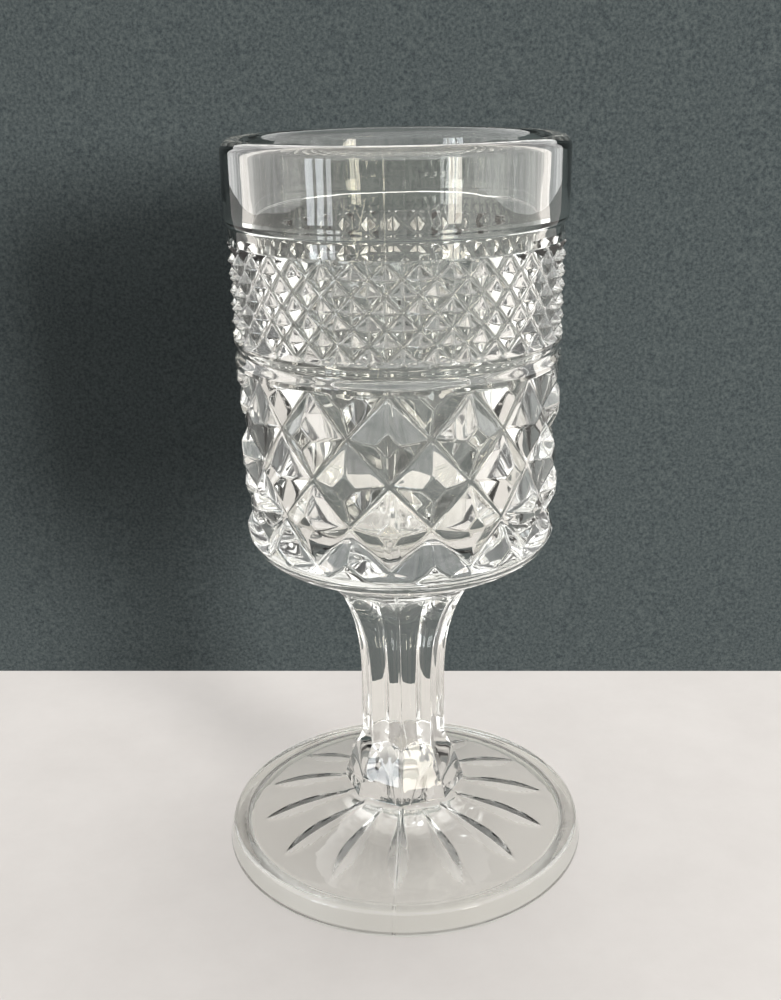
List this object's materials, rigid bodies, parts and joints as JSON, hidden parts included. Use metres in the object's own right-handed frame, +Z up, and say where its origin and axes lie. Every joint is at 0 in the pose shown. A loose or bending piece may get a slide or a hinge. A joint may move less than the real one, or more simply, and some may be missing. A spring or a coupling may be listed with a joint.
{
  "type": "liqueur glass",
  "caption": "Small pressed stem glass for liqueur: straight bowl with bands of large and fine diamonds under a plain rim, fluted stem and round foot with a star of rays.",
  "frame": {"origin": "middle of the ring on which the foot stands, on the ground plane", "axes": "+Z up along the glass's axis, -Y towards the front seam of the mould"},
  "size_m": [0.0616, 0.0616, 0.119],
  "materials": {
    "glass": "clear, fire-polished pressed glass"
  },
  "bodies": {
    "root": {"foot": "glass", "stem": "glass", "bowl": "glass"}
  },
  "joints": []
}
